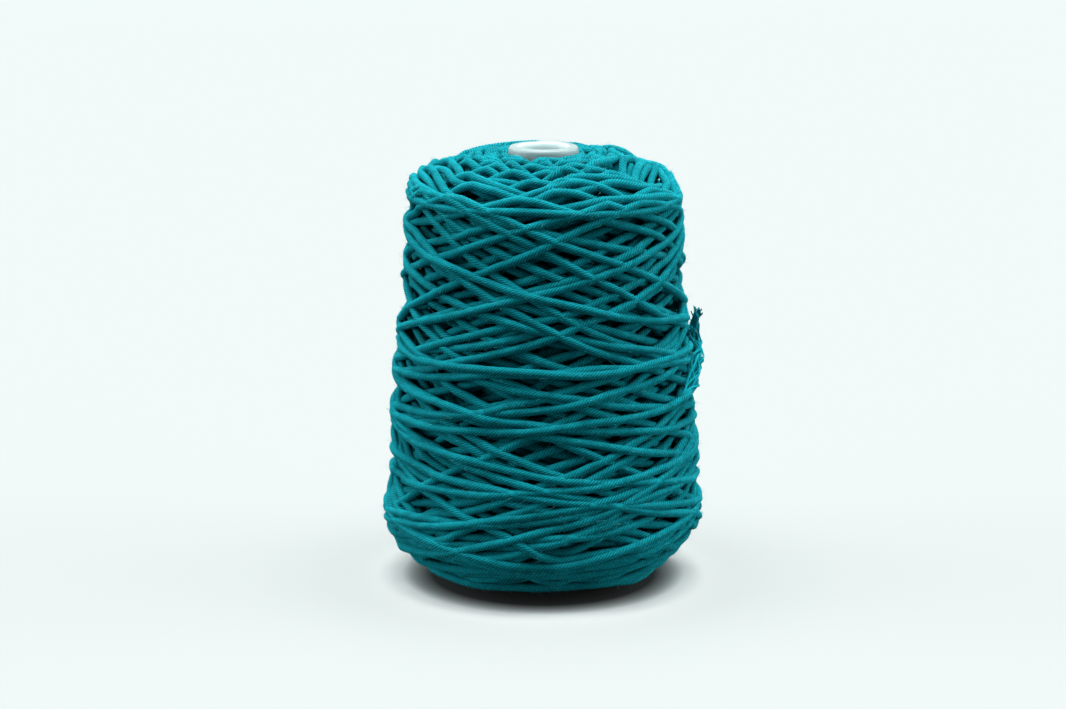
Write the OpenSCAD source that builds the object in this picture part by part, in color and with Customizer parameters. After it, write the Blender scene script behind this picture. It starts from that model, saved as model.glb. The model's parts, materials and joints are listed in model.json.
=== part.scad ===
// A cross-wound yarn cone: one moulded cone core, and one plied strand wound on it.
// The strand is drawn as the wound body, its last course, its loose end and the plies that the end frays into.
// +Z is up the core's axis, and the origin is the centre of the core's base rim.

/* [Cone core] */
// Length of the core, from the base rim to the nose
cone_length = 170; // [140:1:205]
// Outside diameter of the nose
nose_diameter = 26.7; // [23.5:0.1:32.5]
// Half angle of the core's taper
cone_half_angle = 4.333; // [3.5:0.001:5.5]
// Wall of the hollow shell
cone_wall = 1.6; // [1.2:0.1:2.2]
// Diameter of the peg hole through the nose
nose_bore_diameter = 19.1; // [15.5:0.1:19.5]
// Height of the solid ring round the peg hole
nose_ring_height = 6; // [4:0.5:12]
// Wall of the seat inside the base rim
base_rim_wall = 2.8; // [2.4:0.1:4]
// Height of the seat inside the base rim
base_seat_height = 5; // [3:0.5:8]
// Width of the rounding on the nose's outer edge
nose_edge = 1.2; // [0.6:0.1:1.6]
// Chamfer on the core's other edges
edge_chamfer = 0.4; // [0.2:0.1:0.6]

/* [Wound body] */
// Diameter of the wound body under its last course
package_diameter = 116.4; // [95:0.1:140]
// Half angle of the wound body's flank
flank_half_angle = 4.75; // [3:0.05:6]
// Length of nose left bare above the yarn
nose_bare = 2; // [1:0.5:8]
// Length of core left bare under the yarn
base_bare = 2.5; // [1:0.5:8]
// Height of the domed top above the shoulder
dome_height = 15.6; // [8:0.1:20]
// Height of the rounded lower edge
lower_edge_height = 30; // [15:1:36]
// Width of the flat ring of yarn round the base
base_flat_width = 4.5; // [2:0.5:10]

/* [Strand] */
// Diameter of the plied strand
strand_diameter = 3.5; // [2:0.1:4.2]
// Clearance between the strand and what it lies on
lay_gap = 0.3; // [0.25:0.05:0.6]
// Number of turns in the last course
course_turns = 1.5; // [0.5:0.1:1.7]
// Climb of the last course along the axis
course_rise = 36; // [20:1:40]
// Diameter of one loose ply at the frayed end
ply_diameter = 1.3; // [0.8:0.1:1.6]

/* [Hidden] */

taper = tan(cone_half_angle);
flank_taper = tan(flank_half_angle);
strand_r = strand_diameter / 2;
ply_r = ply_diameter / 2;
nose_bore_r = nose_bore_diameter / 2;
base_bore_r = core_r(0) - base_rim_wall;
body_floor = base_bare;
body_top = cone_length - nose_bare;
shoulder_z = body_top - dome_height;
flank_start_z = body_floor + lower_edge_height;
body_r = package_diameter / 2;

round_sides = 120;    // sides of the turned shapes
arc_steps = 16;       // steps along each rounded edge of the wound body
edge_steps = 6;       // steps along the nose's rounded edge
cord_sides = 8;       // sides of the strand's tube
ply_sides = 8;        // sides of a ply's tube
ring_step = 8;        // distance between the rings of the last course
smooth_steps = 2;     // rings to each span of the loose end's route

exit_angle = -36;     // direction, seen from above, in which the loose end leaves the flank
exit_z = 76;          // height at which it leaves

// Route of the loose end after it leaves the flank: round to +X, out in a slack bend, and up against the flank.
loose_route = [
    [54, -19, 78],
    [59, -6, 82],
    [61, 2, 88],
    [60, 4, 94],
    [58.5, 3, 100]
];
// Tips of the plies that the cut end opens into
ply_tips = [
    [60.5, 6, 107],
    [57, 7, 105],
    [57, 1, 108],
    [61, 0, 106]
];

// Outside radius of the core at a height
function core_r(z) = nose_diameter / 2 + (cone_length - z) * taper;
// Radius of the wound body's flank at a height
function flank_r(z) = body_r - (z - flank_start_z) * flank_taper;
// Centre of a strand that lies on the flank, at an angle and a height
function lay_point(angle, z) =
    let (r = flank_r(z) + lay_gap + strand_r)
    [r * cos(angle), r * sin(angle), z];

function unit(v) = v / norm(v);
// Direction of a route at point i
function heading(route, i) =
    unit(route[min(i + 1, len(route) - 1)] - route[max(i - 1, 0)]);
// Point at t between b and c on the smooth curve through a, b, c and d
function smooth_point(a, b, c, d, t) =
    0.5 * (2 * b + (c - a) * t + (2 * a - 5 * b + 4 * c - d) * t ^ 2 + (3 * b - a - 3 * c + d) * t ^ 3);
// A route with rings added along the smooth curve through its points
function smooth(route) =
    let (last = len(route) - 1)
    concat(
        [
            for (i = [0:last - 1], k = [0:smooth_steps - 1])
                smooth_point(
                    route[max(i - 1, 0)], route[i], route[i + 1], route[min(i + 2, last)], k / smooth_steps
                )
        ],
        [route[last]]
    );

// A round tube along a route, with its ends closed; set_off is the direction of its first end
module tube(route, radius, sides, set_off) {
    rings = len(route);
    points = [
        for (i = [0:rings - 1])
            let (
                along = i == 0 ? set_off : heading(route, i),
                outward = unit([route[i][0], route[i][1], 0]),
                side = unit(cross(along, outward)),
                up = cross(side, along)
            )
            for (k = [0:sides - 1])
                route[i] + radius * (cos(360 * k / sides) * side + sin(360 * k / sides) * up)
    ];
    walls = [
        for (i = [0:rings - 2], k = [0:sides - 1])
            let (next = (k + 1) % sides)
            [i * sides + k, i * sides + next, (i + 1) * sides + next, (i + 1) * sides + k]
    ];
    first_end = [for (k = [sides - 1:-1:0]) k];
    last_end = [for (k = [0:sides - 1]) (rings - 1) * sides + k];
    polyhedron(points = points, faces = concat(walls, [first_end, last_end]), convexity = 6);
}

// Last course of the strand, laid on the flank and climbing to the exit
course_length = course_turns * 2 * PI * body_r;
course_rings = ceil(course_length / ring_step);
course_route = [
    for (i = [0:course_rings])
        let (back = 1 - i / course_rings)
        lay_point(exit_angle - back * course_turns * 360, exit_z - back * course_rise)
];
loose_end_route = smooth(concat([course_route[course_rings]], loose_route));
course_end_heading = heading(course_route, course_rings);
end_point = loose_route[len(loose_route) - 1];
end_heading = heading(loose_end_route, len(loose_end_route) - 1);

module cone_core() {
    ring_floor = cone_length - nose_ring_height;
    outer = [
        [core_r(0) - edge_chamfer, 0],
        [core_r(edge_chamfer), edge_chamfer],
        [core_r(cone_length - nose_edge), cone_length - nose_edge]
    ];
    nose_round = [
        for (k = [1:edge_steps])
            let (a = 90 * k / edge_steps)
            [
                core_r(cone_length - nose_edge) - nose_edge * (1 - cos(a)),
                cone_length - nose_edge + nose_edge * sin(a)
            ]
    ];
    inner = [
        [nose_bore_r + edge_chamfer, cone_length],
        [nose_bore_r, cone_length - edge_chamfer],
        [nose_bore_r, ring_floor],
        [core_r(ring_floor) - cone_wall, ring_floor - edge_chamfer],
        [core_r(base_seat_height) - cone_wall, base_seat_height + edge_chamfer],
        [base_bore_r, base_seat_height],
        [base_bore_r, edge_chamfer],
        [base_bore_r + edge_chamfer, 0]
    ];
    color([0.88, 0.91, 0.91])
        rotate_extrude($fn = round_sides)
            polygon(concat(outer, nose_round, inner));
}

module wound_body() {
    seat_low = core_r(body_floor) + lay_gap;
    seat_high = core_r(body_top) + lay_gap;
    flat_r = seat_low + base_flat_width;
    shoulder_r = flank_r(shoulder_z);
    lower_edge = [
        for (k = [0:arc_steps])
            let (a = 90 * k / arc_steps)
            [flat_r + (body_r - flat_r) * sin(a), flank_start_z - lower_edge_height * cos(a)]
    ];
    dome = [
        for (k = [0:arc_steps])
            let (a = 90 * k / arc_steps)
            [seat_high + (shoulder_r - seat_high) * cos(a), shoulder_z + dome_height * sin(a)]
    ];
    color([0.02, 0.42, 0.46])
        rotate_extrude($fn = round_sides)
            polygon(concat([[seat_low, body_floor]], lower_edge, dome));
}

module last_course() {
    color([0.03, 0.5, 0.54]) tube(course_route, strand_r, cord_sides, heading(course_route, 0));
}

module loose_end() {
    color([0.05, 0.56, 0.6]) tube(loose_end_route, strand_r, cord_sides, course_end_heading);
}

module frayed_plies() {
    count = len(ply_tips);
    spread = strand_r - ply_r;
    color([0.08, 0.6, 0.64])
        for (k = [0:count - 1]) {
            turn = 360 * (k + 0.5) / count;
            root = end_point + spread * [cos(turn), sin(turn), 0] + ply_r * end_heading;
            bow = (root + ply_tips[k]) / 2 + lay_gap * [cos(turn), sin(turn), 0];
            tube([root, bow, ply_tips[k]], ply_r, ply_sides, end_heading);
        }
}

cone_core();
wound_body();
last_course();
loose_end();
frayed_plies();
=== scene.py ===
"""A cross-wound cone of teal plied yarn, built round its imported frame.

One strand is wound, turn by turn, on the moulded core. Each turn is laid on a map of what is already
there, so that it rides over the turns that it crosses and nests beside the ones that it follows. All
lengths are in metres.
"""

import json
import logging
import math
from dataclasses import dataclass, field
from enum import Enum
from typing import Iterator, Sequence

import bpy
import numpy as np
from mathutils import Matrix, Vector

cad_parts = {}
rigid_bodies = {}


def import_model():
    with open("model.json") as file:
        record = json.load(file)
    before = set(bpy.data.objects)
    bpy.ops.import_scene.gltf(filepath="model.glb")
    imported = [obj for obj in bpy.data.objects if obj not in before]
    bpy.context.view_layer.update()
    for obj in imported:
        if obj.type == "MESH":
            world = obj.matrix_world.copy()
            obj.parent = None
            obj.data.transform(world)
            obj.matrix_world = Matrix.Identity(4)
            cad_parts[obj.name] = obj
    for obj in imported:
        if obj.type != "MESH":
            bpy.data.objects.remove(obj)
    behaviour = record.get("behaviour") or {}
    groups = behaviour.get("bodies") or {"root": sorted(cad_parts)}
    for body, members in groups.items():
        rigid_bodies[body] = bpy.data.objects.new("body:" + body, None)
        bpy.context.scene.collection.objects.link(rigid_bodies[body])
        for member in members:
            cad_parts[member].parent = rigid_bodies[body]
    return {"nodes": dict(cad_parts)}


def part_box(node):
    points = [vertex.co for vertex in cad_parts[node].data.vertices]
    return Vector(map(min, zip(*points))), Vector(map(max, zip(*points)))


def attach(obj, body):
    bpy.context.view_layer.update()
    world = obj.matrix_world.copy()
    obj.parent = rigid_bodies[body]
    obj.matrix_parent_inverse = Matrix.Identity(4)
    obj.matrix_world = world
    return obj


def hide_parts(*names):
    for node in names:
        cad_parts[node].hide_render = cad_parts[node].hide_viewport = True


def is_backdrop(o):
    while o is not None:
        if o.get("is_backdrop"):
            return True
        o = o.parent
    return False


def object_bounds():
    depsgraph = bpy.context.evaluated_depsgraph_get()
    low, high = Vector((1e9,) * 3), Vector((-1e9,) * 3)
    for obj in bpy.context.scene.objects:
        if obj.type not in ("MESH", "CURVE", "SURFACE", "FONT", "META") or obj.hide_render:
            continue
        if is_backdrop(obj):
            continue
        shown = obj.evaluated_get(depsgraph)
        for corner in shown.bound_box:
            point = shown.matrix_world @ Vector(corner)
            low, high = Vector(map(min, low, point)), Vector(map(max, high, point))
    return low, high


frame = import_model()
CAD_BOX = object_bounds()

log = logging.getLogger("yarn_cone")

BODY = "root"
MM = 0.001
TAU = 2 * math.pi
SEED = 4209
STRAND_UV = "Strand"
BAKE_UV = "OFBake"

Array = np.ndarray
Colour = tuple[float, float, float, float]
Tree = bpy.types.NodeTree


# ---------------------------------------------------------------- shader maths


class Shade:
    """One shader socket, with Python's operators for maths on single values."""

    def __init__(self, tree: Tree, socket: bpy.types.NodeSocket | None) -> None:
        """Wraps an output socket of a tree."""
        self.tree = tree
        self.socket = socket

    def __add__(self, other: "Shade | float") -> "Shade":
        """The sum."""
        return maths("ADD", self, other)

    def __sub__(self, other: "Shade | float") -> "Shade":
        """The difference."""
        return maths("SUBTRACT", self, other)

    def __rsub__(self, other: float) -> "Shade":
        """The difference, with the number first."""
        return maths("SUBTRACT", other, self)

    def __mul__(self, other: "Shade | float") -> "Shade":
        """The product."""
        return maths("MULTIPLY", self, other)

    def __pow__(self, other: float) -> "Shade":
        """The power."""
        return maths("POWER", self, other)

    def __abs__(self) -> "Shade":
        """The absolute value."""
        return maths("ABSOLUTE", self)

    __radd__ = __add__
    __rmul__ = __mul__


def maths(operation: str, *values: Shade | float) -> Shade:
    """Adds a Math node.

    Args:
        operation: The node's operation.
        *values: Its inputs, in order, at least one of them a socket.

    Returns:
        The node's result.
    """
    tree = next(value.tree for value in values if isinstance(value, Shade))
    return add_node(tree, "ShaderNodeMath", {"operation": operation}, dict(enumerate(values)))


def add_node(
    tree: Tree,
    kind: str,
    settings: dict[str, object] | None = None,
    inputs: dict[int | str, object] | None = None,
    output: int | str = 0,
) -> Shade:
    """Adds a node, makes its settings, and feeds its sockets.

    Args:
        tree: The tree to add to.
        kind: The node's type.
        settings: Attributes to set before the sockets are fed.
        inputs: Values or links, by socket index or name.
        output: The output socket to return.

    Returns:
        The chosen output.
    """
    node = tree.nodes.new(kind)
    for name, value in (settings or {}).items():
        setattr(node, name, value)
    for key, value in (inputs or {}).items():
        if isinstance(value, Shade):
            tree.links.new(value.socket, node.inputs[key])
        else:
            node.inputs[key].default_value = value
    return Shade(tree, node.outputs[output] if node.outputs else None)


def mix_colours(tree: Tree, share: Shade, low: object, high: object) -> Shade:
    """Blends two colours.

    Args:
        tree: The tree to add to.
        share: How much of the second colour shows.
        low: The first colour, a link or four numbers.
        high: The second colour, a link or four numbers.

    Returns:
        The blended colour.
    """
    settings = {"data_type": "RGBA", "clamp_factor": True}
    return add_node(tree, "ShaderNodeMix", settings, {0: share, 6: low, 7: high}, 2)


def axes(tree: Tree, vector: Shade) -> tuple[Shade, ...]:
    """The three parts of a vector."""
    split = add_node(tree, "ShaderNodeSeparateXYZ", None, {0: vector}).socket.node
    return tuple(Shade(tree, output) for output in split.outputs)


def object_place(tree: Tree) -> Shade:
    """The place on the object, in metres."""
    return add_node(tree, "ShaderNodeTexCoord", None, None, "Object")


def noise(
    tree: Tree, place: Shade, scale: float, detail: float, flat: bool = False, **others: float
) -> Shade:
    """Noise about 0.5, in two dimensions if flat. Other inputs of its node are given by name."""
    inputs = {"Vector": place, "Scale": scale, "Detail": detail, **others}
    return add_node(tree, "ShaderNodeTexNoise", {"noise_dimensions": "2D" if flat else "3D"}, inputs)


def bump(tree: Tree, height: Shade, distance: float, strength: float) -> Shade:
    """A surface normal that follows a height."""
    inputs = {"Strength": strength, "Distance": distance, "Height": height}
    return add_node(tree, "ShaderNodeBump", None, inputs)


def from_axis(east: Shade, north: Shade) -> Shade:
    """Distance from the upright axis."""
    return (east**2.0 + north**2.0) ** 0.5


def fade(distance: Shade, length: float) -> Shade:
    """A value that falls from 1 with distance, by a factor of e in each length."""
    return maths("EXPONENT", distance * (-1 / length))


def by_camera(tree: Tree, seen: Shade, passed: Shade) -> Shade:
    """One shader for what the camera sees, and one for the light that is passed on."""
    direct = add_node(tree, "ShaderNodeLightPath", None, None, "Is Camera Ray")
    return add_node(tree, "ShaderNodeMixShader", None, {0: direct, 1: passed, 2: seen})


def new_material(name: str) -> tuple[bpy.types.Material, Tree]:
    """Makes a material with an empty node tree.

    Args:
        name: The material's name.

    Returns:
        The material and its tree.
    """
    material = bpy.data.materials.new(name)
    material.use_nodes = True
    material.node_tree.nodes.clear()
    return material, material.node_tree


def close_surface(tree: Tree, values: dict[int | str, object]) -> None:
    """Ends a tree in one Principled surface.

    Args:
        tree: The material's tree.
        values: The shader's sockets.
    """
    surface = add_node(tree, "ShaderNodeBsdfPrincipled", None, values)
    add_node(tree, "ShaderNodeOutputMaterial", None, {"Surface": surface})


# ---------------------------------------------------------------- finishes


@dataclass(frozen=True)
class YarnFinish:
    """Soft plied yarn: painted shade in the grooves between the plies, streaks of fibre and a slow random
    change of tone along it.
    """

    name: str = "teal_yarn"
    ridge: Colour = (0.0035, 0.295, 0.36, 1.0)
    # The groove colour is painted shade between the plies; the slow random tone along the strand also darkens
    # toward it.
    groove: Colour = (0.0004, 0.028, 0.038, 1.0)
    pale: Colour = (0.012, 0.47, 0.53, 1.0)
    roughness: float = 0.88
    sheen: float = 0.08
    sheen_tint: Colour = (0.05, 0.8, 0.9, 1.0)
    streak_height: float = 0.07 * MM
    fibres_along: float = 1100.0
    fibres_per_ply: float = 5.0
    shades_along: float = 26.0
    shades_round: float = 1.5
    stray: float = 0.9

    @staticmethod
    def streaks(tree: Tree, along: Shade, around: Shade, detail: float, rough: float) -> Shade:
        """Noise laid out along the strand and round it."""
        place = add_node(tree, "ShaderNodeCombineXYZ", None, {0: along, 1: around, 2: 0.0})
        return noise(tree, place, 1.0, detail, True, Roughness=rough)

    def material(self, plies: int) -> bpy.types.Material:
        """Builds the material.

        Args:
            plies: The number of plies that the pattern has round the strand.

        Returns:
            The material.
        """
        material, tree = new_material(self.name)
        along, around, _ = axes(tree, add_node(tree, "ShaderNodeUVMap", {"uv_map": STRAND_UV}))
        round_fibres = around * (plies * self.fibres_per_ply)
        fibres = self.streaks(tree, along * self.fibres_along, round_fibres, 3.0, 0.6)
        slow = self.streaks(tree, along * self.shades_along, around * self.shades_round, 2.0, 0.5)
        place = maths("FRACT", around * float(plies) + (fibres - 0.5) * self.stray)
        valley = 1.0 - abs(place * 2.0 - 1.0)
        streaked = mix_colours(tree, (fibres - 0.45) * 2.2, self.ridge, self.pale)
        # Painted shade: the valleys between the plies are darkened toward the groove colour.
        ply_colour = mix_colours(tree, valley**1.3 * 0.9, streaked, self.groove)
        shaded = mix_colours(tree, (slow - 0.42) * 0.9, ply_colour, self.groove)
        close_surface(tree, {
            "Base Color": shaded,
            "Roughness": self.roughness,
            "Sheen Weight": self.sheen,
            "Sheen Roughness": 0.45,
            "Sheen Tint": self.sheen_tint,
            "Specular IOR Level": 0.04,
            "Normal": bump(tree, fibres * 0.5 - valley * 0.5, self.streak_height, 0.8),
        })
        return material


@dataclass(frozen=True)
class FibreFinish:
    """Single loose fibres of the yarn."""

    name: str = "teal_fibre"
    colour: Colour = (0.02, 0.36, 0.40, 1.0)
    pale: Colour = (0.10, 0.55, 0.58, 1.0)

    def material(self) -> bpy.types.Material:
        """Builds the material.

        Returns:
            The material.
        """
        material, tree = new_material(self.name)
        tone = noise(tree, object_place(tree), 220.0, 1.0)
        colour = mix_colours(tree, tone, self.colour, self.pale)
        close_surface(tree, {"Base Color": colour, "Roughness": 0.7, "Sheen Weight": 0.2})
        return material


@dataclass(frozen=True)
class CorePlasticFinish:
    """Translucent white moulded plastic, satin, with faint flow marks and handling scuffs, and painted light
    inside the bore for the light that comes through its thin walls.
    """

    name: str = "core_plastic"
    clean: Colour = (0.27, 0.323, 0.328, 1.0)
    scuffed: Colour = (0.22, 0.275, 0.28, 1.0)
    # Painted light inside the bore: a lighter colour for the light that comes through the thin walls.
    painted_bore_light: Colour = (0.62, 0.72, 0.73, 1.0)
    bore_r: float = 9.9 * MM
    bore_lip: float = 0.3 * MM
    bore_blend: float = 0.4 * MM
    flutes: int = 120

    def material(self) -> bpy.types.Material:
        """Builds the material.

        Returns:
            The material.
        """
        material, tree = new_material(self.name)
        place = object_place(tree)
        flow = noise(tree, place, 90.0, 4.0, Roughness=0.55, Distortion=0.6)
        grain = noise(tree, place, 1400.0, 2.0)
        east, north, _ = axes(tree, place)
        flute = maths("SINE", maths("ARCTAN2", north, east) * float(self.flutes)) * 0.5 + 0.5
        outer = mix_colours(tree, (flow - 0.45) * 1.6, self.clean, self.scuffed)
        # Painted light: the bore's walls get the lighter colour.
        bore_light_share = (self.bore_r + self.bore_lip - from_axis(east, north)) * (1 / self.bore_blend)
        close_surface(tree, {
            "Base Color": mix_colours(tree, bore_light_share, outer, self.painted_bore_light),
            "Roughness": flow * 0.18 + 0.3,
            "Subsurface Weight": 1.0,
            "Subsurface Radius": (1.0, 1.0, 1.0),
            "Subsurface Scale": 6.0 * MM,
            "Specular IOR Level": 0.45,
            "Normal": bump(tree, flute * 0.7 + grain * 0.3, 0.06 * MM, 0.5),
        })
        return material


@dataclass(frozen=True)
class FloorFinish:
    """Pale seamless paper, with a painted shadow under the cone and painted light in a ring round it. It
    throws back less light than it shows, as a small sweep would.
    """

    name: str = "pale_floor"
    colour: Colour = (0.357, 0.361, 0.360, 1.0)
    bounce: Colour = (0.045, 0.05, 0.05, 1.0)
    near_bounce: Colour = (0.19, 0.21, 0.21, 1.0)
    # Painted shadow under the cone: the paper is painted down to the darkest share inside this radius, and
    # comes back to its full colour over the ramp.
    contact: float = 49.3 * MM
    contact_ramp: float = 11 * MM
    shadow_darkest: float = 0.1
    # Painted light: the paper is painted lighter in a ring beyond this radius, fading out, which lifts the
    # real shade that the cone casts there.
    rim: float = 56 * MM
    near_painted_light: float = 1.25
    near_fade: float = 6 * MM
    wide_painted_light: float = 0.25
    wide_fade: float = 25 * MM
    bounce_fade: float = 50 * MM

    def material(self) -> bpy.types.Material:
        """Builds the material.

        Returns:
            The material.
        """
        material, tree = new_material(self.name)
        east, north, _ = axes(tree, object_place(tree))
        r = from_axis(east, north)
        beyond = maths("MAXIMUM", r - self.rim, 0.0)
        near, wide = fade(beyond, self.near_fade), fade(beyond, self.wide_fade)
        # Painted shadow under the cone.
        under = maths("SMOOTH_MIN", (r - self.contact) * (1 / self.contact_ramp) + 0.5, 1.0, 0.3)
        painted_shadow = maths("MAXIMUM", under * (1 - self.shadow_darkest) + self.shadow_darkest, self.shadow_darkest)
        # The floor's shown colour: painted light in the ring round the rim, times the painted shadow under
        # the cone.
        tone = (near * self.near_painted_light + wide * self.wide_painted_light + 1.0) * painted_shadow
        grey = add_node(tree, "ShaderNodeCombineColor", None, {0: tone, 1: tone, 2: tone})
        paper = add_node(
            tree, "ShaderNodeMix", {"data_type": "RGBA", "blend_type": "MULTIPLY"},
            {0: 1.0, 6: self.colour, 7: grey}, 2,
        )
        thrown = mix_colours(tree, fade(beyond, self.bounce_fade), self.bounce, self.near_bounce)
        shown, passed = (
            add_node(tree, "ShaderNodeBsdfDiffuse", None, {"Color": colour}) for colour in (paper, thrown)
        )
        surface = by_camera(tree, shown, passed)
        add_node(tree, "ShaderNodeOutputMaterial", None, {"Surface": surface})
        return material


# ---------------------------------------------------------------- meshes


@dataclass
class MeshParts:
    """Corners, four-sided faces, end faces and two sets of map places, gathered for one mesh."""

    corners: list[Array] = field(default_factory=list)
    quads: list[Array] = field(default_factory=list)
    ends: list[Array] = field(default_factory=list)
    strand_uv: list[Array] = field(default_factory=list)
    end_uv: list[Array] = field(default_factory=list)
    count: int = 0
    length: float = 0.0

    def add_tube(self, rings: Array, along: Array) -> None:
        """Adds a closed tube.

        Args:
            rings: Corners of each ring, as rings x sides x 3.
            along: Distance of each ring along the strand.
        """
        number, sides = rings.shape[:2]
        ring = np.arange(number - 1)[:, None] * sides
        side = np.arange(sides)[None, :]
        after = (side + 1) % sides
        quads = np.stack([ring + side, ring + after, ring + sides + after, ring + sides + side], -1)
        near = np.broadcast_to(along[:-1, None], (number - 1, sides))
        far = np.broadcast_to(along[1:, None], (number - 1, sides))
        low = np.broadcast_to(side / sides, (number - 1, sides))
        high = low + 1 / sides
        places = np.stack([near, low, near, high, far, high, far, low], -1).reshape(-1, 4, 2)
        self.corners.append(rings.reshape(-1, 3))
        self.quads.append(quads.reshape(-1, 4) + self.count)
        first = np.arange(sides)[::-1] + self.count
        last = np.arange(sides) + (number - 1) * sides + self.count
        self.ends.extend([first, last])
        self.strand_uv.append(places)
        for distance in (along[0], along[-1]):
            self.end_uv.append(np.tile([[distance, 0.5]], (sides, 1)))
        self.count += number * sides
        self.length += float(along[-1] - along[0])

    def bake_places(self, places: Array, width: float) -> Array:
        """Folds the long strip of the strand into rows that fill the unit square.

        Args:
            places: Map places of the faces, as faces x corners x 2, in metres along and turns round.
            width: Girth of the strand.

        Returns:
            The places in the unit square.
        """
        total = max(self.length, 20 * width)
        rows = max(1, math.ceil(math.sqrt(total / width) * 1.02))
        row_length = total / rows * 1.01
        start = places[:, :, 0].min(axis=1)
        steps = np.ptp(places[:, :, 0], axis=1)
        # Faces of one ring share a start, so each ring moves the running length on once.
        ring_starts, ring_index = np.unique(start, return_inverse=True)
        ring_steps = np.zeros(len(ring_starts))
        np.maximum.at(ring_steps, ring_index, steps)
        place = np.concatenate([[0.0], np.cumsum(ring_steps)[:-1]])[ring_index]
        row = np.minimum((place / row_length).astype(int), rows - 1)
        across = (place - row * row_length)[:, None] + (places[:, :, 0] - start[:, None])
        # Small margins keep the rows apart.
        out = np.empty_like(places)
        out[:, :, 0] = 0.002 + 0.994 * np.clip(across / row_length, 0, 1.002)
        out[:, :, 1] = (row[:, None] + 0.04 + 0.92 * places[:, :, 1]) / rows
        return out

    def build(self, name: str, material: bpy.types.Material, width: float) -> bpy.types.Object:
        """Makes the mesh object.

        Args:
            name: The object's name.
            material: Its finish.
            width: Girth of the strand, for the bake map.

        Returns:
            The object, linked to the scene.
        """
        corners = np.concatenate(self.corners).astype(np.float32)
        quads = np.concatenate(self.quads)
        places = np.concatenate(self.strand_uv)
        baked = self.bake_places(places, width)
        end_sizes = np.array([len(end) for end in self.ends])
        loops = np.concatenate([quads.reshape(-1), *self.ends])
        starts = np.concatenate([
            np.arange(len(quads)) * 4,
            len(quads) * 4 + np.concatenate([[0], np.cumsum(end_sizes)[:-1]]),
        ])
        totals = np.concatenate([np.full(len(quads), 4), end_sizes])
        mesh = bpy.data.meshes.new(name)
        mesh.vertices.add(len(corners))
        mesh.vertices.foreach_set("co", corners.reshape(-1))
        mesh.loops.add(len(loops))
        mesh.loops.foreach_set("vertex_index", loops.astype(np.int32))
        mesh.polygons.add(len(totals))
        mesh.polygons.foreach_set("loop_start", starts.astype(np.int32))
        mesh.polygons.foreach_set("loop_total", totals.astype(np.int32))
        mesh.polygons.foreach_set("use_smooth", np.ones(len(totals), dtype=bool))
        end_places = np.concatenate(self.end_uv)
        layers = {STRAND_UV: (places, end_places), BAKE_UV: (baked, np.full_like(end_places, 0.999))}
        for layer_name, (quad_places, cap_places) in layers.items():
            flat = np.concatenate([quad_places.reshape(-1, 2), cap_places]).astype(np.float32)
            mesh.uv_layers.new(name=layer_name).data.foreach_set("uv", flat.reshape(-1))
        mesh.update(calc_edges=True)
        mesh.validate()
        mesh.materials.append(material)
        return link(name, mesh)


def link(name: str, data: bpy.types.ID) -> bpy.types.Object:
    """Adds an object to the scene."""
    thing = bpy.data.objects.new(name, data)
    bpy.context.collection.objects.link(thing)
    return thing


def smooth_route(points: Sequence[Sequence[float]], step: float) -> Array:
    """Follows the smooth curve through given points.

    Args:
        points: The points, in metres.
        step: Distance between the points that come back.

    Returns:
        Points along the curve, evenly spaced.
    """
    route = np.asarray(points, dtype=float)
    padded = np.vstack([route[0], route, route[-1]])
    dense = []
    for a, b, c, d in zip(padded, padded[1:], padded[2:], padded[3:]):
        for t in np.linspace(0, 1, 24, endpoint=False):
            dense.append(
                0.5 * (2 * b + (c - a) * t + (2 * a - 5 * b + 4 * c - d) * t**2
                       + (3 * b - a - 3 * c + d) * t**3)
            )
    dense = np.array([*dense, route[-1]])
    run = run_along(dense)
    places = np.linspace(0, run[-1], max(4, round(run[-1] / step) + 1))
    return at_places(places, run, dense)


def run_along(line: Array) -> Array:
    """Distance along a line at each of its points."""
    return np.concatenate([[0.0], np.cumsum(np.linalg.norm(np.diff(line, axis=0), axis=1))])


def at_places(places: Array, run: Array, line: Array) -> Array:
    """A line's rows at other distances along it."""
    return np.stack([np.interp(places, run, line[:, axis]) for axis in range(3)], axis=1)


def unit_rows(vectors: Array) -> Array:
    """Scales each row to length 1."""
    return vectors / np.maximum(np.linalg.norm(vectors, axis=-1, keepdims=True), 1e-12)


def circles(up: Array, side: Array, corners: int) -> Array:
    """Corners of a unit circle round each point, from its two directions across the line."""
    angle = (TAU * np.arange(corners) / corners)[None, :, None]
    return np.cos(angle) * up[:, None, :] + np.sin(angle) * side[:, None, :]


def smoothed(values: Array, width: int) -> Array:
    """Evens a row of values out over an odd number of them."""
    window = np.hanning(width)
    return np.convolve(np.pad(values, width // 2, mode="edge"), window / window.sum(), mode="valid")


def arc(share: float) -> float:
    """Height of a quarter circle of radius 1, from its middle at 0 to its rim at 1."""
    return math.sqrt(max(0.0, 1 - min(1.0, max(0.0, share)) ** 2))


# ---------------------------------------------------------------- the strand


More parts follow.
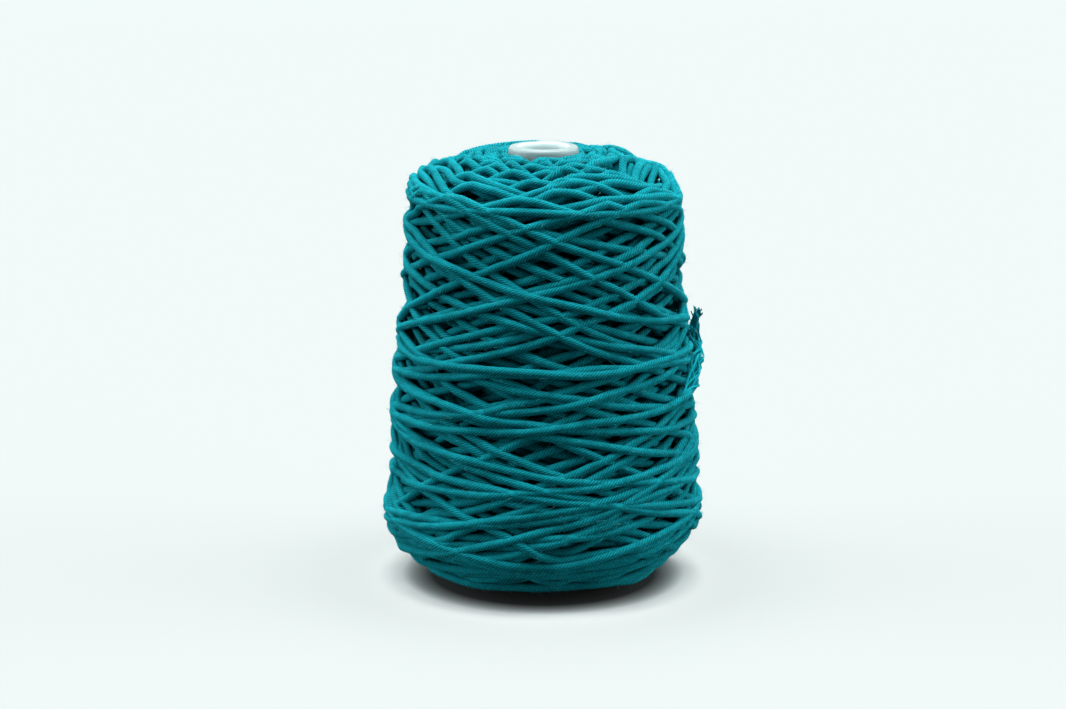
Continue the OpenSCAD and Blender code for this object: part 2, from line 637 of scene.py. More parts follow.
@dataclass(frozen=True)
class StrandGauge:
    """The plied strand: its thickness, and how its plies run round it."""

    diameter: float = 3.5 * MM
    plies: int = 7
    lead: float = 9.6 * MM
    groove: float = 0.34 * MM
    flatness: float = 0.88
    breadth: float = 0.92
    swell: float = 0.05
    swell_waves: tuple[float, float] = (41 * MM, 17 * MM)

    @property
    def radius(self) -> float:
        """Half of the diameter."""
        return self.diameter / 2

    @property
    def girth(self) -> float:
        """Distance round the strand."""
        return math.pi * self.diameter

    def rings(
        self, centres: Array, along: Array, outward: Array, sides: int, grooved: bool,
        plump: Array | float = 1.0,
    ) -> Array:
        """Places the rings of the strand's surface round its centreline.

        Args:
            centres: The centreline's points.
            along: Distance of each point along the whole strand.
            outward: Rough direction away from what the strand lies on, at each point.
            sides: Corners in each ring.
            grooved: True to give each ply its own ridge.
            plump: How much thicker than usual the strand is at each point.

        Returns:
            The corners, as rings x sides x 3.
        """
        heading = unit_rows(np.gradient(centres, axis=0))
        up = unit_rows(outward - heading * np.sum(outward * heading, axis=1, keepdims=True))
        side = np.cross(heading, up)
        angle = TAU * (np.arange(sides)[None, :] / sides - along[:, None] / self.lead)
        long, short = (along * TAU / wave for wave in self.swell_waves)
        swell = 1 + self.swell * (0.6 * np.sin(long) + 0.4 * np.sin(short + 1.3))
        reach = (self.radius * swell * plump)[:, None] * np.ones((1, sides))
        if grooved:
            reach = reach - self.groove * (np.arange(sides)[None, :] % 2)
        high = (reach * self.flatness * np.cos(angle))[:, :, None] * up[:, None, :]
        wide = (reach * self.breadth * np.sin(angle))[:, :, None] * side[:, None, :]
        return centres[:, None, :] + high + wide


class Detail(Enum):
    """How finely a stretch of the strand is modelled, and what its pieces are called."""

    SHOWN = ("outer_turns", 14, 0.85 * MM)
    BEHIND = ("middle_turns", 10, 1.8 * MM)
    BURIED = ("inner_turns", 6, 4.0 * MM)

    def __init__(self, label: str, sides: int, step: float) -> None:
        """Names the values: the pieces' name, the corners of a ring and the distance between rings."""
        self.label, self.sides, self.step = label, sides, step


# ---------------------------------------------------------------- the package's shape


@dataclass(frozen=True)
class PackageShape:
    """Outline of the wound package round its core, worked out from the frame."""

    core_base_r: float
    core_length: float
    body_r: float
    floor: float
    top: float
    core_taper: float = math.tan(math.radians(4.333))
    flank_taper: float = math.tan(math.radians(4.0))
    flank_extra: float = 1.7 * MM
    dome_height: float = 15.6 * MM
    edge_height: float = 30 * MM
    flat_width: float = 4.8 * MM
    edge_room: float = 1.5 * MM

    @classmethod
    def from_frame(cls) -> "PackageShape":
        """Reads the sizes of the core and the wound body.

        Returns:
            The outline.
        """
        _, core_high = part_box("cone_core")
        body_low, body_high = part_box("wound_body")
        return cls(core_high[0], core_high[2], body_high[0], body_low[2], body_high[2])

    def core_r(self, z: Array | float) -> Array | float:
        """Radius of the core at a height."""
        return self.core_base_r - z * self.core_taper

    @property
    def edge_top(self) -> float:
        """Height at which the rounded lower edge meets the flank."""
        return self.floor + self.edge_height

    @property
    def shoulder(self) -> float:
        """Height at which the flank meets the domed top."""
        return self.top - self.dome_height

    def flank_r(self, z: Array | float) -> Array | float:
        """Radius of the full package's flank at a height."""
        return self.body_r + self.flank_extra - (z - self.edge_top) * self.flank_taper

    def outline_r(self, z: Array) -> Array:
        """Radius of the full package's outline.

        Args:
            z: Heights.

        Returns:
            The radius at each height.
        """
        inner, flat = self.core_r(self.top), self.core_r(self.floor) + self.flat_width
        rise = np.clip((z - self.shoulder) / self.dome_height, 0, 1)
        drop = np.clip((self.edge_top - z) / self.edge_height, 0, 1)
        dome = inner + (self.flank_r(self.shoulder) - inner) * np.sqrt(1 - rise**2)
        edge = flat + (self.flank_r(self.edge_top) - flat) * np.sqrt(1 - drop**2)
        return np.where(z > self.shoulder, dome, np.where(z < self.edge_top, edge, self.flank_r(z)))

    def upper_limit(self, r: float) -> float:
        """Height of the domed top over a radius."""
        inner = self.core_r(self.top)
        return self.shoulder + self.dome_height * arc((r - inner) / (self.flank_r(self.shoulder) - inner))

    def lower_limit(self, r: float) -> float:
        """Height of the rounded underside over a radius."""
        flat = self.core_r(self.floor) + self.flat_width
        share = (r - flat) / (self.flank_r(self.edge_top) + self.edge_room - flat)
        return self.edge_top - self.edge_height * arc(share)


# ---------------------------------------------------------------- winding


@dataclass
class Winder:
    """Winds one strand on the core, and keeps a map of the radius that the package has reached everywhere."""

    shape: PackageShape
    gauge: StrandGauge
    columns: int = 512
    row_step: float = 0.6 * MM
    squash: float = 0.88
    chunk: int = 256
    ahead: int = 72
    pull_rounds: int = 110
    nest_rounds: int = 3
    slip: float = 2.6 * MM
    turn_share: float = 0.09
    press: float = 2.2 * MM
    hollow: float = 0.9 * MM
    sink: float = 1.2 * MM
    allowance: float = 0.4 * MM
    bulge: float = 1.3 * MM
    edge_bulge: float = 4.0
    full: float = 0.965
    last_layers: float = 0.9
    middle: float = 85 * MM
    to_top: float = 75 * MM
    to_edge: float = 60 * MM
    pitches: tuple[float, float] = (75, 175)
    lower_pitches: tuple[float, ...] = (70, 46, 90, 58, 38, 80)
    tries: int = 7

    def __post_init__(self) -> None:
        """Starts the map at the bare core."""
        self.random = np.random.default_rng(SEED)
        self.rows = int(round(self.shape.core_length / self.row_step)) + 8
        self.heights = np.arange(self.rows) * self.row_step
        self.reach = np.repeat(self.shape.core_r(self.heights)[:, None], self.columns, axis=1)
        self.reach = self.reach + 0.2 * MM
        self.grip = self.gauge.radius * self.squash
        span = int(self.grip / self.row_step) + 1
        self.offsets = np.arange(-span, span + 1)
        self.waiting: list[float] = []
        self.laid_z: list[Array] = []
        self.laid_r: list[Array] = []
        self.laid = 0
        self.shift = 0.0
        self.z = self.shape.floor + 6 * MM
        self.level = self.reach.copy()

    # -- laying

    def _near(self, z: Array) -> tuple[Array, Array, Array]:
        """Map rows under the strand.

        Args:
            z: Heights of the strand's centre.

        Returns:
            The rows, the lift of a round strand over each, and a mask of the rows that it touches.
        """
        rows = np.rint(z / self.row_step).astype(int)[None, :] + self.offsets[:, None]
        rows = np.clip(rows, 0, self.rows - 1)
        apart = rows * self.row_step - z[None, :]
        square = self.grip**2 - apart**2
        return rows, np.sqrt(np.maximum(square, 0.0)), square > 0

    def resting_r(self, z: Array, columns: Array) -> Array:
        """Lowest radius that the strand's centre can have at each height and map column."""
        rows, lift, touching = self._near(z)
        return np.where(touching, self.reach[rows, columns[None, :]] + lift, 0.0).max(axis=0)

    def _nest(self, z: Array, columns: Array) -> Array:
        """Lets the strand slip sideways into the nearest hollow.

        Args:
            z: Heights of the strand's centre.
            columns: Map columns.

        Returns:
            The shifted heights.
        """
        probe = 1.2 * MM
        slip = np.full(len(z), self.shift)
        for _ in range(self.nest_rounds):
            high = self.resting_r(z + slip + probe, columns)
            low = self.resting_r(z + slip - probe, columns)
            push = np.clip((low - high) * 0.7, -0.8 * MM, 0.8 * MM)
            slip = smoothed(np.clip(slip * 0.96 + push, -self.slip, self.slip), 61)
        ramp = np.clip(np.arange(len(z)) / 50, 0, 1)
        return z + self.shift * (1 - ramp) + slip * ramp

    def _pull(self, support: Array, start: float | None) -> Array:
        """Draws the strand taut over its supports.

        Args:
            support: Lowest radius at each place.
            start: Radius at which the strand arrives.

        Returns:
            The radius of the strand's centre.
        """
        chord = math.cos(TAU / self.columns)
        r = support.copy()
        if start is not None:
            r[0] = start
        for _ in range(self.pull_rounds):
            r[1:-1] = np.maximum(support[1:-1], 0.5 * (r[:-2] + r[2:]) * chord)
        for _ in range(5):
            r[1:-1] = 0.25 * r[:-2] + 0.5 * r[1:-1] + 0.25 * r[2:]
        return r

    def feed(self, heights: Sequence[float]) -> None:
        """Sends the strand on, one height for each map column.

        Args:
            heights: Heights of the strand's centre.
        """
        self.waiting.extend(heights)
        while len(self.waiting) >= self.chunk + self.ahead:
            self._lay(self.chunk)

    def finish(self) -> None:
        """Lays what is still waiting."""
        while self.waiting:
            self._lay(min(self.chunk, len(self.waiting)))

    def _lay(self, number: int) -> None:
        """Lays the next stretch on the package.

        Args:
            number: How many places to lay.
        """
        z = np.array(self.waiting[: number + self.ahead])
        columns = (self.laid + np.arange(len(z))) % self.columns
        z = self._nest(z, columns)
        margin = self.gauge.radius + 0.3 * MM
        z = np.clip(z, self.shape.floor + margin, self.shape.top - self.grip)
        start = self.laid_r[-1][-1] if self.laid_r else None
        support = self.resting_r(z, columns)
        drop = np.clip((self.shape.edge_top - z) / self.shape.edge_height, 0, 1)
        press = self.press * (1 + drop)
        level = self.level[np.rint(z / self.row_step).astype(int), columns] + press + 0.5 * self.grip
        outline = self.shape.outline_r(z) + self.allowance - self.grip
        squeezed = np.minimum(support, np.maximum(np.minimum(level, outline), support - self.sink))
        squeezed = np.minimum(squeezed, outline + self.bulge * (1 + self.edge_bulge * drop))
        r = self._pull(squeezed, start)
        self.shift = float(z[number - 1] - self.waiting[number - 1])
        z, r, columns = z[:number], r[:number], columns[:number]
        rows, lift, touching = self._near(z)
        under = self.reach[rows, columns[None, :]]
        self.reach[rows, columns[None, :]] = np.where(touching, np.maximum(under, r + lift), under)
        self.laid_z.append(z)
        self.laid_r.append(r)
        self.laid += number
        del self.waiting[:number]

    def settle(self) -> None:
        """Evens the map: high places are pressed down, and soft turns spread into hollows."""
        group = 4
        even = self.reach.reshape(self.rows, -1, group).mean(axis=2)
        tall, wide = np.hanning(9)[1:-1], np.hanning(33)[1:-1]
        padded = np.pad(even, ((3, 3), (0, 0)), mode="edge")
        even = sum(share * padded[k : k + self.rows] for k, share in enumerate(tall / tall.sum()))
        padded = np.pad(even, ((0, 0), (15, 15)), mode="wrap")
        width = self.columns // group
        even = sum(share * padded[:, k : k + width] for k, share in enumerate(wide / wide.sum()))
        even = np.repeat(even, group, axis=1)
        self.level = even
        self.reach = np.clip(self.reach, even - self.hollow, even + self.press)

    # -- courses

    def grown(self) -> float:
        """Share of its full thickness that the package has reached at mid height.

        Returns:
            The share, from 0 to 1.
        """
        band = (self.heights > 60 * MM) & (self.heights < 120 * MM)
        core = self.shape.core_r(self.heights[band])
        full = self.shape.flank_r(self.heights[band])
        return float(np.mean((self.reach[band].mean(axis=1) - core) / (full - core)))

    def course(self, low: float, high: float, rising: bool, pitch: float, evening: float) -> list[float]:
        """One run of the strand from one end of the package to the other.

        Args:
            low: Height of the lower end.
            high: Height of the upper end.
            rising: True if it runs upwards.
            pitch: Climb in one turn.
            evening: How strongly it dwells where the package is thin, from 0 to 1.

        Returns:
            Heights, one for each map column.
        """
        grown = self.grown()
        core = self.shape.core_r(self.heights)
        wanted = core + grown * (self.shape.flank_r(self.heights) - core)
        lack = (wanted - self.reach.mean(axis=1)) / (1.2 * MM)
        pace = np.exp(-evening * np.clip(lack, -1.2, 1.2))
        wobble = 1 + 0.2 * np.sin(self.heights / (19 * MM) + self.random.uniform(0, TAU))
        pace = pace * wobble * pitch / self.columns
        z, heights = self.z, []
        sign = 1 if rising else -1
        goal = high if rising else low
        zone = pitch * self.turn_share
        while (goal - z) * sign > 0:
            from_ends = max(0.0, min(z - low, high - z))
            ease = min(1.0, math.sqrt(from_ends / zone) + 0.1)
            z += sign * pace[int(z / self.row_step)] * ease
            heights.append(z)
        self.z = min(max(z, low), high)
        return heights

    def best_course(
        self, low: float, high: float, rising: bool, pitches: Sequence[float], evening: float
    ) -> list[float]:
        """The one of several courses that finds the emptiest way.

        Args:
            low: Height of the lower end.
            high: Height of the upper end.
            rising: True if it runs upwards.
            pitches: Climb in one turn, for each course to try.
            evening: How strongly it dwells where the package is thin, from 0 to 1.

        Returns:
            Heights, one for each map column.
        """
        start = self.z
        begin = self.laid + len(self.waiting)
        best, least, end = [], math.inf, start
        for pitch in pitches:
            self.z = start
            heights = self.course(low, high, rising, pitch, evening)
            z = np.array(heights)
            columns = (begin + np.arange(len(z))) % self.columns
            cost = float(np.mean(self.resting_r(z, columns) - self.shape.flank_r(z)))
            if cost < least:
                best, least, end = heights, cost, self.z
        self.z = end
        return best

    def wind_body(self) -> None:
        """Winds full courses until the package has its full thickness."""
        rising = True
        grown = self.grown()
        while grown < self.full:
            if grown > self.last_layers:
                self.sink, self.allowance = 1.0 * MM, 0.8 * MM
                self.hollow, self.press = 1.9 * MM, 2.0 * MM
                self.slip = 0.9 * MM
            core, flank = self.shape.core_r(self.middle), self.shape.flank_r(self.middle)
            middle_r = core + grown * (flank - core)
            top_r = middle_r - self.to_top * self.shape.flank_taper
            edge_r = middle_r + self.to_edge * self.shape.flank_taper
            give = self.random.exponential(1.0 * MM, 2) * min(1.0, 0.1 + 1.5 * grown)
            high = self.shape.upper_limit(top_r) - self.grip - give[0] * 0.7
            low = self.shape.lower_limit(edge_r) + self.gauge.radius + give[1] * 3.5
            pitches = self.random.uniform(*self.pitches, self.tries) * MM
            self.feed(self.best_course(low, high, rising, pitches, 1.0))
            self.settle()
            rising = not rising
            grown = self.grown()
        log.info("full courses: %.1f turns", (self.laid + len(self.waiting)) / self.columns)

    def wind_route(self, route: Sequence[tuple[float, float]]) -> None:
        """Winds a run whose heights are listed.

        Args:
            route: Turns, counted from +X, and heights in millimetres.
        """
        now = self.laid + len(self.waiting)
        first = math.ceil(now / self.columns + 0.2 - (route[0][0] % 1)) + (route[0][0] % 1)
        turns = [first + turn - route[0][0] for turn, _ in route]
        places = np.arange(now, round(turns[-1] * self.columns) + 1)
        heights = np.interp(
            places / self.columns, [now / self.columns, *turns], [self.z, *[h * MM for _, h in route]]
        )
        eased = smoothed(heights, 75)
        self.feed(list(eased))
        self.z = float(eased[-1])

    def wind_lower(self) -> None:
        """Winds the flat courses that cover only the lower part of the package."""
        rising = False
        self.allowance = 1.4 * MM
        for pitch in self.lower_pitches:
            high = self.random.uniform(92, 102) * MM
            low = self.random.uniform(12, 22) * MM
            pitches = self.random.uniform(0.75, 1.3, self.tries) * pitch * MM
            self.feed(self.best_course(low, high, rising, pitches, 0.3))
            rising = not rising

    def path(self) -> tuple[Array, Array, Array]:
        """Angle, height and radius of the strand's centre, all the way."""
        z, r = np.concatenate(self.laid_z), np.concatenate(self.laid_r)
        return np.arange(len(z)) * TAU / self.columns, z, r


# Last runs over the whole height, then the last runs over the lower part: turns from +X, and heights in
# millimetres.
UPPER_ROUTE = (
    (0.30, 150), (0.583, 138), (0.768, 107), (1.0, 74), (1.25, 48), (1.5, 30), (1.75, 17), (1.95, 27),
    (2.25, 64), (2.522, 100), (2.767, 125), (2.989, 143), (3.25, 150), (3.6, 134), (3.85, 112), (4.05, 100),
)
LOWER_ROUTE = (
    (0.2, 92), (0.6, 80), (0.9, 66), (1.2, 58), (1.594, 52), (1.768, 46), (1.95, 33), (2.2, 20), (2.5, 30),
    (2.75, 19), (2.95, 31), (3.4, 40), (4.9, 76),
)


# ---------------------------------------------------------------- the wound yarn


@dataclass
class WoundYarn:
    """The package: the whole strand as it lies on the core, in pieces of one detail each."""

    shape: PackageShape
    gauge: StrandGauge
    finish: YarnFinish
    shown_depth: float = 1.9 * MM
    behind_depth: float = 6.0 * MM
    end_cover: float = 1.5 * MM
    piece_faces: int = 92000

    def wind(self) -> None:
        """Winds the strand, and works out where its centreline lies and how deep it is buried."""
        winder = Winder(self.shape, self.gauge)
        winder.wind_body()
        winder.wind_route(UPPER_ROUTE)
        winder.wind_lower()
        winder.wind_route(LOWER_ROUTE)
        winder.finish()
        self.winder = winder
        self.angle, self.z, self.r = winder.path()
        self.centres = np.stack([self.r * np.cos(self.angle), self.r * np.sin(self.angle), self.z], axis=1)
        self.along = run_along(self.centres)
        log.info("strand on the package: %.1f m in %.0f turns", self.along[-1], self.angle[-1] / TAU)

    def depth(self) -> Array:
        """How far each point of the strand lies under the package's surface.

        Returns:
            The depths, negative outside.
        """
        lowest = self.winder.reach.copy()
        for axis in (0, 1, 0, 1):
            beside = np.minimum(np.roll(lowest, 1, axis), np.roll(lowest, -1, axis))
            lowest = np.minimum(lowest, beside)
        rows = np.clip((self.z / self.winder.row_step).astype(int), 4, self.winder.rows - 5)
        columns = np.arange(len(self.z)) % self.winder.columns
        outer = lowest[rows, columns] - self.r - self.winder.grip
        radii = np.linspace(0, 0.07, 200)
        above = np.interp(self.r, radii, [self.shape.upper_limit(r) for r in radii]) - self.z
        below = self.z - np.interp(self.r, radii, [self.shape.lower_limit(r) for r in radii])
        return np.minimum(outer, np.minimum(above, below) - self.gauge.radius - self.end_cover)

    def outward(self, centres: Array) -> Array:
        """Direction away from the package's surface.

        Args:
            centres: Points on the package.

        Returns:
            A direction for each point, of any length.
        """
        r = np.hypot(centres[:, 0], centres[:, 1])
        z = centres[:, 2]
        inner = self.shape.core_r(self.shape.top)
        wide = self.shape.flank_r(self.shape.shoulder) - inner
        rise = np.maximum(z - self.shape.shoulder, 0) / self.shape.dome_height**2
        drop = np.maximum(self.shape.edge_top - z, 0) / self.shape.edge_height**2
        across = np.maximum(r - inner, 0.2 * wide) / wide**2
        return np.stack([centres[:, 0] / r * across, centres[:, 1] / r * across, rise - drop], axis=1)

    def runs(self) -> Iterator[tuple[Detail, int, int]]:
        """Stretches of the strand that share one detail.

        Yields:
            The detail, and the first and last point of each stretch.
        """
        depth = self.depth()
        level = np.where(depth < self.shown_depth, 2, np.where(depth < self.behind_depth, 1, 0))
        for grade in (2, 1):
            mask = (level >= grade).astype(float)
            spread = np.convolve(mask, np.ones(25), mode="same") > 0.5
            level = np.where(spread & (level < grade), grade, level)
        kinds = (Detail.BURIED, Detail.BEHIND, Detail.SHOWN)
        edges = np.flatnonzero(np.diff(level)) + 1
        for first, last in zip([0, *edges], [*edges, len(level) - 1]):
            if last - first > 3:
                yield kinds[level[first]], int(first), int(min(last + 1, len(level) - 1))

    def tube(self, parts: MeshParts, detail: Detail, first: int, last: int) -> None:
        """Adds one stretch of the strand to a mesh.

        Args:
            parts: The mesh to add to.
            detail: How finely to model it.
            first: Its first point.
            last: Its last point.
        """
        start, end = self.along[first], self.along[last]
        along = np.linspace(start, end, max(3, round((end - start) / detail.step) + 1))
        centres = at_places(along, self.along, self.centres)
        rings = self.gauge.rings(centres, along, self.outward(centres), detail.sides, detail is Detail.SHOWN)
        parts.add_tube(rings, along)

    def build(self) -> list[bpy.types.Object]:
        """Makes the package's pieces.

        Returns:
            The pieces.
        """
        material = self.finish.material(self.gauge.plies)
        gathered: dict[Detail, list[MeshParts]] = {detail: [MeshParts()] for detail in Detail}
        length = {detail: 0.0 for detail in Detail}
        per_point = self.along[-1] / len(self.along)
        for detail, first, last in self.runs():
            cut = max(40, int(self.piece_faces / 4 / detail.sides * detail.step / per_point))
            for start in range(first, last, cut):
                stop = min(start + cut, last)
                if stop - start < 3:
                    continue
                stretch = self.along[stop] - self.along[start]
                if gathered[detail][-1].count + stretch / detail.step * detail.sides > self.piece_faces:
                    gathered[detail].append(MeshParts())
                self.tube(gathered[detail][-1], detail, start, stop)
                length[detail] += stretch
        pieces = []
        for detail, groups in gathered.items():
            log.info("%s: %.1f m in %d pieces", detail.label, length[detail], len(groups))
            for number, parts in enumerate(groups, 1):
                if parts.count:
                    pieces.append(parts.build(f"{detail.label}_{number}", material, self.gauge.girth))
        for piece in pieces:
            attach(piece, BODY)
            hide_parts("wound_body", "last_course")
        self.material = material
        return pieces


# ---------------------------------------------------------------- the loose end

LOOSE_ROUTE = ((54, -19, 78), (57.8, -6, 81.5), (60.1, 2, 87), (57.8, 5, 93), (58.8, 3, 99.5))


@dataclass
class LooseEnd:
    """The slack free end of the strand, and the plies that its cut end opens into."""

    yarn: WoundYarn
    slimmer: float = 0.2
    ply_radius: float = 0.42 * MM
    open_plies: int = 16
    tuft_plies: int = 20
    tuft: float = 8.0 * MM
    step: float = 0.7 * MM

    def route(self) -> Array:
        """Finds the centreline, from the last turn out to the cut, lying on the turns under it.

        Returns:
            Its points.
        """
        points = [self.yarn.centres[-1], *(np.array(LOOSE_ROUTE, dtype=float) * MM)]
        line = smooth_route(points, self.step)
        return self.rest(line, 0.3 * MM, np.clip(np.arange(len(line)) / 12, 0, 1))

    def rest(self, line: Array, clear: float, blend: Array | float = 1.0) -> Array:
        """Lifts a line out to where a strand lies on the turns under it.

        Args:
            line: Points of the line.
            clear: How far outside the turns its centre stays, beyond half the strand.
            blend: Share of the lift at each point.

        Returns:
            The lifted points.
        """
        winder = self.yarn.winder
        r = np.hypot(line[:, 0], line[:, 1])
        angle = np.arctan2(line[:, 1], line[:, 0])
        columns = np.rint(angle / TAU * winder.columns).astype(int) % winder.columns
        under = smoothed(winder.resting_r(line[:, 2], columns), 21) + clear
        lifted = r + np.maximum(under - r, 0) * blend
        return np.stack([lifted * np.cos(angle), lifted * np.sin(angle), line[:, 2]], axis=1)

    def build(self) -> list[bpy.types.Object]:
        """Makes the loose end and its plies.

        Returns:
            The pieces.
        """
        gauge = self.yarn.gauge
        line = self.route()
        run = run_along(line)
        along = self.yarn.along[-1] + run
        outward = line * np.array([1.0, 1.0, 0.0])
        parts = MeshParts()
        plump = 1 - self.slimmer * np.clip((run - 16 * MM) / (20 * MM), 0, 1)
        parts.add_tube(gauge.rings(line, along, outward, Detail.SHOWN.sides, True, plump), along)
        tube = parts.build("loose_end_strand", self.yarn.material, gauge.girth)
        plies = self.plies(line, run)
        for piece, node in ((tube, "loose_end"), (plies, "frayed_plies")):
            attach(piece, BODY)
            "yarn" if node == "loose_end" else "yarn_ply"
            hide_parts(node)
        log.info("loose end: %.1f mm", run[-1] / MM)
        return [tube, plies]

    def plies(self, line: Array, run: Array) -> bpy.types.Object:
        """Makes the plies at the cut end: a tuft past it, and loose ones that lie along the strand.

        Args:
            line: The strand's centreline.
            run: Distance along it.

        Returns:
            The piece.
        """
        random = np.random.default_rng(SEED + 1)
        parts = MeshParts()
        self.add_tuft(parts, line, run[-1], random)
        self.add_opened(parts, line, run, random)
        # The groove colour paints shade into the valleys of each loose ply's pattern.
        loose = YarnFinish("teal_ply", ridge=(0.004, 0.34, 0.41, 1.0), groove=(0.002, 0.20, 0.25, 1.0))
        return parts.build("frayed_ply_ends", loose.material(2), TAU * self.ply_radius)

    def add_tuft(
        self, parts: MeshParts, line: Array, length: float, random: np.random.Generator
    ) -> None:
        """Adds the plies that leave the strand's end, each curling its own way.

        Args:
            parts: The mesh to add to.
            line: The strand's centreline.
            length: Its length.
            random: The source of chance.
        """
        end, heading = line[-1], unit_rows((line[-1] - line[-5])[None, :])[0]
        across = unit_rows(np.cross(heading, [1.0, 0.2, 0.1])[None, :])[0]
        third = np.cross(heading, across)
        for ply in range(self.tuft_plies):
            reach = random.uniform(0.45, 1.05) * self.tuft
            share = np.linspace(-0.4, 1, 30)
            grown = np.maximum(share, 0)
            wide = (random.uniform(0.3, 1.0) + grown**1.4 * random.uniform(0.1, 1.7)) * MM
            spin = TAU * ply / self.tuft_plies + share * random.uniform(-2.6, -0.9)
            drift = grown**2 * random.uniform(-1.6, 1.6) * MM
            curl = np.sin(share * random.uniform(4, 9)) * grown * 0.5 * MM
            centre = (
                end + heading * (share * reach)[:, None]
                + across * (wide * np.cos(spin) + drift)[:, None]
                + third * (wide * np.sin(spin) + curl)[:, None]
            )
            self.add_ply(parts, centre, length + share * reach, 1 - 0.5 * grown**2)

    def add_opened(
        self, parts: MeshParts, line: Array, run: Array, random: np.random.Generator
    ) -> None:
        """Adds the plies that have opened before the end and lie loose round the strand.

        Args:
            parts: The mesh to add to.
            line: The strand's centreline.
            run: Distance along it.
            random: The source of chance.
        """
        outward = unit_rows(line * np.array([1.0, 1.0, 0.0]))
        side = np.cross(unit_rows(np.gradient(line, axis=0)), outward)
        for ply in range(self.open_plies):
            places = np.linspace(random.uniform(0.12, 0.45), 1.0, 70) * run[-1]
            share = np.linspace(0, 1, len(places))
            away = (0.7 + random.uniform(0.5, 1.9) * np.minimum(share * 3, 1)) * MM
            away = away + np.sin(share * random.uniform(5, 14) + ply) * 0.35 * MM * share
            spin = TAU * ply / self.open_plies - places / (random.uniform(24, 60) * MM) * TAU
            middle, beside, out = (at_places(places, run, way) for way in (line, side, outward))
            astray = random.uniform(-8.0, 2.0) * MM * (ply % 2) * np.sin(math.pi * share) ** 0.8
            sideways = away * 1.25 * np.cos(spin) + astray
            centre = middle + beside * sideways[:, None] + out * (away * np.sin(spin))[:, None]
            centre = self.rest(centre, -1.2 * MM, np.clip(share * 3 - 0.2, 0, 1))
            self.add_ply(parts, centre, run[-1] + places, 1 - 0.4 * share**4)

    def add_ply(self, parts: MeshParts, centre: Array, along: Array, plump: Array) -> None:
        """Adds one round ply.

        Args:
            parts: The mesh to add to.
            centre: The ply's centreline.
            along: Distance along it.
            plump: Share of the full thickness at each point.
        """
        heading = unit_rows(np.gradient(centre, axis=0))
        up = unit_rows(np.cross(heading, np.tile([0.3, 0.9, 0.1], (len(centre), 1))))
        ring = circles(up, np.cross(heading, up), 10)
        radius = self.ply_radius * plump
        parts.add_tube(centre[:, None, :] + ring * radius[:, None, None], along)


# ---------------------------------------------------------------- fuzz


@dataclass
class Fuzz:
    """Fine fibres that stand off the outer turns."""

    yarn: WoundYarn
    count: int = 7200
    radius: float = 0.042 * MM
    longest: float = 4.2 * MM

    def build(self) -> bpy.types.Object:
        """Makes the fibres, all in one piece.

        Returns:
            The piece.
        """
        random = np.random.default_rng(SEED + 2)
        open_places = np.flatnonzero(self.yarn.depth() < -0.4 * MM)
        roots = random.choice(open_places, self.count)
        centres = self.yarn.centres[roots]
        outward = unit_rows(self.yarn.outward(centres))
        heading = unit_rows(self.yarn.centres[np.minimum(roots + 3, len(self.yarn.centres) - 1)] - centres)
        side = np.cross(heading, outward)
        lean = random.uniform(-1.1, 1.1, self.count)
        base = outward * np.cos(lean)[:, None] + side * np.sin(lean)[:, None]
        start = centres + base * (self.yarn.gauge.radius * 0.85)
        reach = random.uniform(0.25, 1.0, self.count) ** 1.6 * self.longest
        sweep = heading * random.uniform(-1.6, 1.6, self.count)[:, None]
        curl = side * random.uniform(-0.9, 0.9, self.count)[:, None]
        share = np.linspace(0, 1, 5)[None, :, None]
        line = start[:, None, :] + reach[:, None, None] * (
            base[:, None, :] * share * 0.55 + (sweep + curl)[:, None, :] * share**1.7 * 0.45
        )
        parts = MeshParts()
        ring = circles(outward, side, 3)
        thin = np.linspace(1, 0.5, 5) * self.radius
        for fibre in range(self.count):
            rings = line[fibre][:, None, :] + ring[fibre][None, :, :] * thin[:, None, None]
            parts.add_tube(rings, np.linspace(0, reach[fibre], 5) + fibre * 0.005)
        piece = parts.build("loose_fibres", FibreFinish().material(), TAU * self.radius)
        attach(piece, BODY)
        return piece


# ---------------------------------------------------------------- core, floor, light and camera


@dataclass(frozen=True)
class ConeCore:
    """The moulded core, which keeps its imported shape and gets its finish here."""

    finish: CorePlasticFinish = CorePlasticFinish()

    def dress(self) -> None:
        """Gives the core its plastic."""
        core = frame["nodes"]["cone_core"]
        material = self.finish.material()
        core.data.materials.clear()
        core.data.materials.append(material)
        for face in core.data.polygons:
            face.material_index = 0


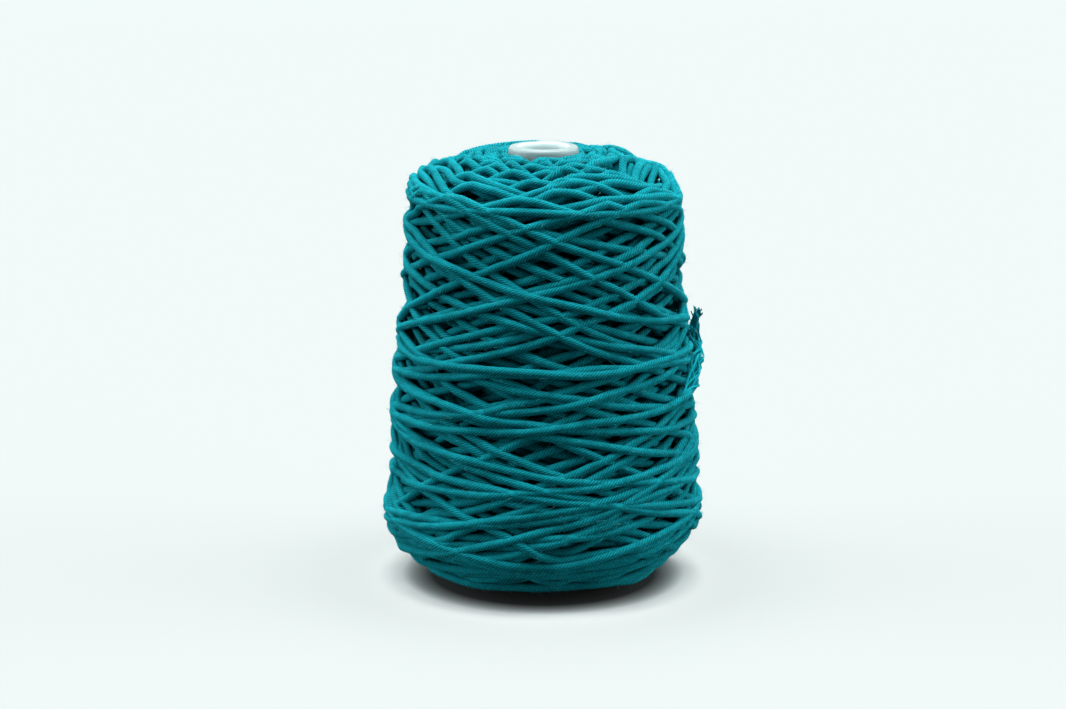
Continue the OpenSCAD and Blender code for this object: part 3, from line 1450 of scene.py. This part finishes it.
@dataclass(frozen=True)
class Studio:
    """Pale seamless floor, a soft tent of light, brightest from above and from both sides, and the camera."""

    floor_radius: float = 9.0
    camera_place: tuple[float, float, float] = (-0.004, -1.062, 0.3287)
    camera_dip: float = 12.77
    lens: float = 94.4
    seen: Colour = (0.875, 0.965, 0.955, 1.0)
    light: Colour = (0.93, 1.0, 0.99, 1.0)
    fill: float = 0.03
    overhead: float = 15.6
    sides: float = 6.6
    rear: float = 0.6

    def camera(self) -> None:
        """Places the camera."""
        data = bpy.data.cameras.new("view")
        data.lens = self.lens
        data.sensor_width = 36.0
        data.clip_end = 60.0
        data.clip_start = 0.02
        camera = link("view", data)
        camera.location = self.camera_place
        camera.rotation_euler = (math.radians(90 - self.camera_dip), 0, 0)
        bpy.context.scene.camera = camera

    def floor(self) -> None:
        """Lays the floor, a wide flat disc."""
        turns = np.linspace(0, TAU, 96, endpoint=False)
        corners = [(self.floor_radius * math.cos(t), self.floor_radius * math.sin(t), 0.0) for t in turns]
        mesh = bpy.data.meshes.new("floor")
        mesh.from_pydata(corners, [], [list(range(len(corners)))])
        mesh.materials.append(FloorFinish().material())
        link("floor", mesh)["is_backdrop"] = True

    def lights(self) -> None:
        """Sets the tent of light round the scene."""
        world = bpy.data.worlds.new("tent")
        world.use_nodes = True
        bpy.context.scene.world = world
        tree = world.node_tree
        tree.nodes.clear()
        way = add_node(tree, "ShaderNodeTexCoord", None, None, "Generated")
        across, back, up = axes(tree, way)
        above, behind = maths("MAXIMUM", up, 0.0), maths("MAXIMUM", back, 0.0)
        power = above**12.0 * self.overhead + across**8.0 * self.sides + behind**4.0 * self.rear + self.fill
        tent = add_node(tree, "ShaderNodeBackground", None, {"Color": self.light, "Strength": power})
        plain = add_node(tree, "ShaderNodeBackground", None, {"Color": self.seen, "Strength": 1.0})
        add_node(tree, "ShaderNodeOutputWorld", None, {"Surface": by_camera(tree, plain, tent)})
        bpy.context.scene.view_settings.view_transform = "Standard"


def write_sizes() -> None:
    """Works out the frame's box and the finished model's box."""
    boxes = {"cad": CAD_BOX, "visual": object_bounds()}
    plain = {name: [[float(x) for x in corner] for corner in box] for name, box in boxes.items()}


def main() -> None:
    """Builds the scene."""
    logging.basicConfig(level=logging.INFO, format="%(name)s: %(message)s")
    studio = Studio()
    studio.camera()
    yarn = WoundYarn(PackageShape.from_frame(), StrandGauge(), YarnFinish())
    yarn.wind()
    yarn.build()
    LooseEnd(yarn).build()
    Fuzz(yarn).build()
    ConeCore().dress()
    studio.floor()
    studio.lights()
    for piece in bpy.context.scene.objects:
        if piece.type == "MESH" and not piece.hide_render:
            log.info("%s: %d faces", piece.name, len(piece.data.polygons))
    write_sizes()


if __name__ == "__main__":
    main()
